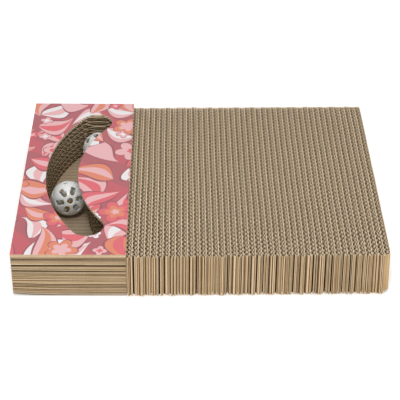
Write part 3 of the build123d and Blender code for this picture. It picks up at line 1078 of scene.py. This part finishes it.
def shell_cutters(ball):
    """Flared plugs for all the openings of a half shell, as one mesh: they widen at the shell's faces."""
    petal_corner = 0.9 * MM
    window_corner = 0.8 * MM
    nearly_half = 0.49  # a round end keeps a short flat, so that no two points fall together
    outer = ball.diameter / 2
    inner = outer - ball.wall
    petal_end = nearly_half * ball.petal_width
    hole_end = nearly_half * ball.pole_hole
    petal = round_rectangle(ball.petal_length, ball.petal_width, petal_corner, petal_end)
    window = round_rectangle(ball.window_length, ball.window_width, window_corner, window_corner)
    hole = round_rectangle(ball.pole_hole, ball.pole_hole, hole_end, hole_end)
    openings = [(hole, 0.0, 0.0)]
    for index in range(ball.petal_count):
        turn = math.tau / ball.petal_count
        openings.append((petal, ball.petal_angle, turn * index))
        openings.append((window, ball.window_angle, turn * (index + 0.5)))
    # How far from the ball's middle each ring of a plug lies, and how much wider than the opening it is
    levels = (
        (inner - 2 * ball.flare, ball.flare * 0.5),
        (inner + 0.4 * ball.flare, 0.0),
        (outer - ball.flare, 0.0),
        (outer - 0.35 * ball.flare, 0.28 * ball.flare),
        (outer + 0.05 * ball.flare, ball.flare),
        (outer + 2 * ball.flare, 2.2 * ball.flare),
    )
    points = []
    faces = []
    for outline, polar, azimuth in openings:
        turned = Matrix.Rotation(azimuth, 3, "Z") @ Matrix.Rotation(polar, 3, "Y")
        base = len(points)
        count = len(outline)
        for radius, growth in levels:
            for x, y, angle in outline:
                flat = Vector((x + growth * math.cos(angle), y + growth * math.sin(angle), outer))
                points.append(turned @ (flat.normalized() * radius))
        for level in range(len(levels) - 1):
            for step in range(count):
                after = (step + 1) % count
                near = base + level * count
                faces.append((near + step, near + after, near + count + after, near + count + step))
        faces.append(tuple(base + step for step in reversed(range(count))))
        faces.append(tuple(base + (len(levels) - 1) * count + step for step in range(count)))
    mesh = bpy.data.meshes.new("shell_cutters")
    mesh.from_pydata(points, [], faces)
    return bpy.data.objects.new("shell_cutters", mesh)


def cut_away(piece, cutter):
    """The piece with the cutter's shape taken away, as a plain mesh. The cutter is removed."""
    collection = bpy.context.scene.collection
    for item in (piece, cutter):
        if item.name not in collection.objects:
            collection.objects.link(item)
    cutting = piece.modifiers.new("openings", "BOOLEAN")
    cutting.operation = "DIFFERENCE"
    cutting.solver = "EXACT"
    cutting.object = cutter
    baked(piece)
    bpy.data.objects.remove(cutter)
    return piece


def half_shell(name, ball, front):
    """A half shell with its pole up: the front half has a lip below the seam, the rear half its rebate."""
    steps, segments = 32, 96
    outer = ball.diameter / 2
    inner = outer - ball.wall
    lip = (inner + outer) / 2
    start = math.asin(ball.seam / outer)
    profile = [(0, outer)]
    for step in range(1, steps + 1):
        angle = math.pi / 2 - (math.pi / 2 - start) * step / steps
        profile.append((outer * math.cos(angle), outer * math.sin(angle)))
    profile.append((outer - ball.seam, 0))
    if front:
        profile += [(lip, 0), (lip, -ball.lap), (inner, -ball.lap), (inner, 0)]
        floor = 0.0
    else:
        floor = ball.lap + ball.lap_play
        rebate = lip + ball.lap_play
        profile += [(rebate, 0), (rebate, floor), (math.sqrt(inner**2 - floor**2), floor)]
    start = math.asin(floor / inner)
    for step in range(1, steps):
        angle = start + (math.pi / 2 - start) * step / steps
        profile.append((inner * math.cos(angle), inner * math.sin(angle)))
    profile.append((0, inner))
    return cut_away(lathe(name, profile, segments), shell_cutters(ball))


def ball_turn(pole_way, petal_way):
    """The turn that takes +Z to a ball's pole, with a petal towards the given direction."""
    pole = Vector(pole_way).normalized()
    side = pole.cross(Vector(petal_way)).normalized()
    petal = side.cross(pole)
    return Matrix((petal, side, pole)).transposed().to_4x4()


# Which way each ball's pole and one of its petals point
BALLS = {
    "near": ((0.18, -0.89, 0.43), (0.29, 0.56, 0.78)),
    "far": ((-0.46, 0.54, 0.71), (-0.19, 0.06, 0.98)),
}


def ball_centre(name):
    """The middle of a ball, over the middle of its bell."""
    low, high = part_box(f"{name}_ball_bell")
    floor = min(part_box(f"{name}_ball_{half}_half")[0][2] for half in ("front", "rear"))
    radius = bpy.context.scene.scratcher_ball.diameter / 2
    return Vector(((low[0] + high[0]) / 2, (low[1] + high[1]) / 2, floor + radius))


class SCRATCHER_OT_balls(Operator):
    """Makes the half shells of both balls"""

    bl_idname = "scratcher.balls"
    bl_label = "Ball Shells"

    def execute(self, context):
        ball = context.scene.scratcher_ball
        plastic = moulded_plastic("moulded_polypropylene", context.scene.scratcher_colours)
        flipped = Matrix.Rotation(math.pi, 4, "X")
        for name, (pole, petal) in BALLS.items():
            lie = Matrix.Translation(ball_centre(name)) @ ball_turn(pole, petal)
            for half, turn in (("front", Matrix()), ("rear", flipped)):
                shell = half_shell(f"{name}_shell_{half}", ball, half == "front")
                shell.data.transform(lie @ turn)
                shell.data.materials.clear()
                shell.data.materials.append(plastic)
                finish_piece(shell, f"{name}_ball", "ball_plastic", f"{name}_ball_{half}_half", crease=40)
        return {"FINISHED"}


def slit_cutter(ball, turn):
    """A plug for a slit across the bell, with round ends and open at the bottom, turned about Z."""
    steps = 24
    half = ball.slit / 2
    eye = ball.slit_eye / 2
    spread = math.asin(half / eye)
    outline = []
    for step in range(steps + 1):
        angle = -math.pi / 2 + spread + (math.tau - 2 * spread) * step / steps
        outline.append((eye * math.cos(angle), eye * math.sin(angle) - ball.slit_start))
    outline += [(-half, -ball.bell), (half, -ball.bell)]
    count = len(outline)
    points = [(x, side * ball.bell, z) for side in (-1, 1) for x, z in outline]
    faces = [tuple(reversed(range(count))), tuple(range(count, 2 * count))]
    for step in range(count):
        after = (step + 1) % count
        faces.append((after, count + after, count + step, step))
    mesh = bpy.data.meshes.new("slit")
    mesh.from_pydata(points, [], faces)
    mesh.transform(Matrix.Rotation(turn, 4, "Z"))
    return bpy.data.objects.new("slit", mesh)


def bell_shell(name, ball):
    """A bell of thin sheet: a hollow sphere with a bead round its middle and crossed slits below it."""
    steps, segments = 48, 64
    hollow_steps, hollow_segments = 32, 48
    bead_spread = 0.09
    outer = ball.bell / 2
    inner = outer - ball.bell_wall
    profile = [(0, outer)]
    for step in range(1, steps):
        angle = math.pi / 2 - math.pi * step / steps
        bead = ball.bell_bead * math.exp(-((angle / bead_spread) ** 2))
        profile.append(((outer + bead) * math.cos(angle), (outer + bead) * math.sin(angle)))
    profile.append((0, -outer))
    arcs = [math.pi * step / hollow_steps for step in range(hollow_steps + 1)]
    hollow = [(inner * math.sin(arc), inner * math.cos(arc)) for arc in arcs]
    bell = cut_away(lathe(name, profile, segments), lathe("hollow", hollow, hollow_segments))
    for turn in (0, math.pi / 2):
        cut_away(bell, slit_cutter(ball, turn))
    return bell


class SCRATCHER_OT_bells(Operator):
    """Makes the bells and finishes the pellets inside the balls"""

    bl_idname = "scratcher.bells"
    bl_label = "Bells and Pellets"

    def execute(self, context):
        ball = context.scene.scratcher_ball
        colours = context.scene.scratcher_colours
        brass = sheet_metal("tumbled_sheet_brass", colours.brass, 0.22)
        steel = sheet_metal("steel_shot", colours.steel, 0.28)
        for name in BALLS:
            bell = bell_shell(f"{name}_bell_shell", ball)
            low, high = (Vector(corner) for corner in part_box(f"{name}_ball_bell"))
            bell.data.transform(Matrix.Translation((low + high) / 2))
            bell.data.materials.clear()
            bell.data.materials.append(brass)
            finish_piece(bell, f"{name}_bell", "bell_metal", f"{name}_ball_bell")
            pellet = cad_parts[f"{name}_ball_pellet"]
            pellet.data.materials.clear()
            pellet.data.materials.append(steel)
        return {"FINISHED"}


def directly_seen(tree):
    """1 for rays from the camera, by way of gloss or glass too, and 0 for the light that falls on things."""
    path = add(tree, "ShaderNodeLightPath").outputs
    seen = add(
        tree, "ShaderNodeMath", {0: path["Is Camera Ray"], 1: path["Is Glossy Ray"]}, operation="MAXIMUM"
    )
    return add(tree, "ShaderNodeMath", {0: seen, 1: path["Is Transmission Ray"]}, operation="MAXIMUM")


def studio_floor(name):
    """Pale studio floor: a matt white sweep that shows white to the camera and keeps the soft shadow."""
    material = bpy.data.materials.new(name)
    tree = empty_tree(material)
    matt = add(tree, "ShaderNodeBsdfDiffuse", {"Color": linear("F4F4F4")})
    glow = add(tree, "ShaderNodeEmission", {"Color": linear("FFFFFF"), "Strength": 0.3})
    dark = add(tree, "ShaderNodeEmission", {"Strength": 0.0})
    lit = add(tree, "ShaderNodeMixShader", {0: directly_seen(tree), 1: dark, 2: glow})
    both = add(tree, "ShaderNodeAddShader", {0: matt, 1: lit})
    add(tree, "ShaderNodeOutputMaterial", {"Surface": both})
    return material


def lay_floor(scene):
    """A large square floor just under the scratcher."""
    half = 3.0
    level = CAD_BOX[0][2] - 0.2 * MM
    corners = [(-half, -half, level), (half, -half, level), (half, half, level), (-half, half, level)]
    mesh = bpy.data.meshes.new("studio_floor")
    mesh.from_pydata(corners, [], [(0, 1, 2, 3)])
    mesh.materials.append(studio_floor("white_studio_floor"))
    floor = bpy.data.objects.new("studio_floor", mesh)
    scene.collection.objects.link(floor)


def hang_lamps(scene):
    """A low softbox in front, a large one above and a smaller lamp for the shine, all aimed at the origin."""
    # Name, diameter in metres, power in watts, place in metres
    lamps = (
        ("low_softbox", 1.4, 15.5, (0.1, -2.2, 0.75)),
        ("top_softbox", 1.6, 12.0, (0.1, 0.0, 1.9)),
        ("front_lamp", 0.35, 12.0, (-0.2, -0.95, 1.8)),
    )
    for name, size, power, place in lamps:
        lamp = bpy.data.lights.new(name, "AREA")
        lamp.shape = "DISK"
        lamp.size = size
        lamp.energy = power
        light = bpy.data.objects.new(name, lamp)
        light.location = place
        light.rotation_euler = (-Vector(place)).to_track_quat("-Z", "Y").to_euler()
        scene.collection.objects.link(light)


def surround(scene):
    """White surroundings, which give the scratcher less light than they show."""
    world = bpy.data.worlds.new("white_surroundings")
    tree = empty_tree(world)
    strength = add(
        tree, "ShaderNodeMapRange", {"Value": directly_seen(tree), "To Min": 0.38, "To Max": 1.0}
    )
    sky = add(tree, "ShaderNodeBackground", {"Color": linear("FFFFFF"), "Strength": strength})
    add(tree, "ShaderNodeOutputWorld", {"Surface": sky})
    scene.world = world
    scene.view_settings.view_transform = "Standard"


def place_camera(scene):
    """The camera, which looks down at the pad's front."""
    view = scene.scratcher_view
    ahead = Vector((
        math.sin(view.yaw) * math.cos(view.elevation),
        math.cos(view.yaw) * math.cos(view.elevation),
        -math.sin(view.elevation),
    ))
    level = Vector((math.cos(view.yaw), -math.sin(view.yaw), 0))
    right = level * math.cos(view.roll) + level.cross(ahead) * math.sin(view.roll)
    up = right.cross(ahead)
    lens = bpy.data.cameras.new("camera")
    lens.lens = view.focal / MM
    lens.sensor_width = 36
    camera = bpy.data.objects.new("camera", lens)
    turn = Matrix((right, up, -ahead)).transposed().to_4x4()
    camera.matrix_world = Matrix.Translation(Vector(view.target) - ahead * view.distance) @ turn
    scene.collection.objects.link(camera)
    scene.camera = camera


class SCRATCHER_OT_stage(Operator):
    """Makes the floor, the lights, the white surroundings and the camera"""

    bl_idname = "scratcher.stage"
    bl_label = "Stage"

    def execute(self, context):
        for step in (lay_floor, hang_lamps, surround, place_camera):
            step(context.scene)
        return {"FINISHED"}


class SCRATCHER_PT_panel(Panel):
    """Lists the steps that dress the scratcher, and their sizes and colours"""

    bl_idname = "SCRATCHER_PT_panel"
    bl_label = "Cat Scratcher"
    bl_space_type = "VIEW_3D"
    bl_region_type = "UI"
    bl_category = "Scratcher"

    def draw(self, context):
        for operator in OPERATORS:
            self.layout.operator(operator.bl_idname)
        for name, group in SETTINGS.items():
            box = self.layout.box()
            settings = getattr(context.scene, name)
            for key in group.__annotations__:
                box.prop(settings, key)


OPERATORS = (
    SCRATCHER_OT_pad,
    SCRATCHER_OT_floor_sheet,
    SCRATCHER_OT_track_sheets,
    SCRATCHER_OT_printed_top,
    SCRATCHER_OT_balls,
    SCRATCHER_OT_bells,
    SCRATCHER_OT_stage,
)


def register():
    """Registers the classes and hangs the settings on the scene."""
    for name, group in SETTINGS.items():
        bpy.utils.register_class(group)
        setattr(bpy.types.Scene, name, PointerProperty(type=group))
    for item in (*OPERATORS, SCRATCHER_PT_panel):
        bpy.utils.register_class(item)


def unregister():
    """Takes everything that register added away again."""
    for item in reversed((*OPERATORS, SCRATCHER_PT_panel)):
        bpy.utils.unregister_class(item)
    for name, group in reversed(SETTINGS.items()):
        delattr(bpy.types.Scene, name)
        bpy.utils.unregister_class(group)


def main():
    """Builds the scratcher and its stage."""
    register()
    bpy.ops.scratcher.pad()
    bpy.ops.scratcher.floor_sheet()
    bpy.ops.scratcher.track_sheets()
    bpy.ops.scratcher.printed_top()
    bpy.ops.scratcher.balls()
    bpy.ops.scratcher.bells()
    bpy.ops.scratcher.stage()


if __name__ == "__main__":
    main()
